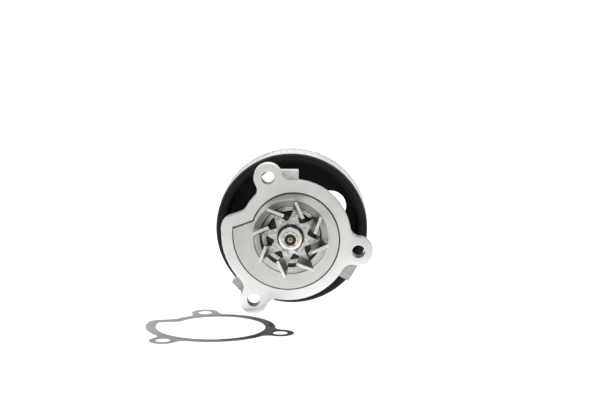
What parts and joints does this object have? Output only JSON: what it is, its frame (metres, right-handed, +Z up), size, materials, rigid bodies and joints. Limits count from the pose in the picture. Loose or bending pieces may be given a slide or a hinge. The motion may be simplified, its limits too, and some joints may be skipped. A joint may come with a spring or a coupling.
{
  "type": "engine water pump",
  "caption": "Engine coolant pump: die-cast flange with three lugs, bladed steel impeller, shaft bearing, face seal, black ribbed belt pulley and loose gasket.",
  "frame": {"origin": "on the shaft axis, in the plane of the flange's mounting face", "axes": "+Y along the shaft from the impeller towards the pulley, +Z up as the pump is pictured, with its lower lug at the bottom, +X to the right seen from the impeller side"},
  "size_m": [0.1557, 0.1521, 0.1091],
  "materials": {
    "cast_aluminium": "satin",
    "impeller_steel": "satin",
    "shaft_steel": "satin",
    "bearing_steel": "gloss",
    "cage_polyamide": "matte",
    "seal_steel": "satin",
    "seal_rubber": "matte",
    "seal_carbon": "satin",
    "seal_ceramic": "gloss",
    "pulley_black": "satin",
    "gasket_steel": "satin"
  },
  "bodies": {
    "housing": {"pump_body": "cast_aluminium", "bearing_outer_ring": "bearing_steel", "bearing_seal_front": "seal_rubber", "bearing_seal_rear": "seal_rubber", "seal_case": "seal_steel", "seal_bellows": "seal_rubber", "seal_spring": "seal_steel"},
    "rotor": {"shaft": "shaft_steel", "impeller": "impeller_steel", "seal_mating_ring": "seal_ceramic", "seal_mating_cup": "seal_rubber", "pulley_hub": "shaft_steel", "pulley": "pulley_black"},
    "ball_set": {"bearing_balls": "bearing_steel", "ball_cage": "cage_polyamide"},
    "roller_set": {"bearing_rollers": "bearing_steel", "roller_cage": "cage_polyamide"},
    "seal_face": {"seal_carbon_ring": "seal_carbon", "seal_drive_ring": "seal_steel"},
    "gasket": {"gasket": "gasket_steel"}
  },
  "joints": [
    {"name": "rotor_spin", "type": "hinge", "parent": "housing", "child": "rotor", "pos_m": [0, 0, 0], "axis": [0, 1, 0], "continuous": true},
    {"name": "ball_set_spin", "type": "hinge", "parent": "housing", "child": "ball_set", "pos_m": [0, 0, 0], "axis": [0, 1, 0], "continuous": true},
    {"name": "roller_set_spin", "type": "hinge", "parent": "housing", "child": "roller_set", "pos_m": [0, 0, 0], "axis": [0, 1, 0], "continuous": true},
    {"name": "seal_face_float", "type": "slide", "parent": "housing", "child": "seal_face", "axis": [0, 1, 0], "range_m": [0, 0.0008], "stiffness_N_per_m": 3000, "springref_m": -0.004, "deforming": ["seal_bellows", "seal_spring"]},
    {"name": "gasket_lift", "type": "slide", "parent": "housing", "child": "gasket", "axis": [0, 0, 1], "range_m": [0, 0.02]}
  ],
  "couplings": [
    {"joint": "ball_set_spin", "follows": "rotor_spin", "ratio": 0.3504},
    {"joint": "roller_set_spin", "follows": "rotor_spin", "ratio": 0.4003}
  ]
}
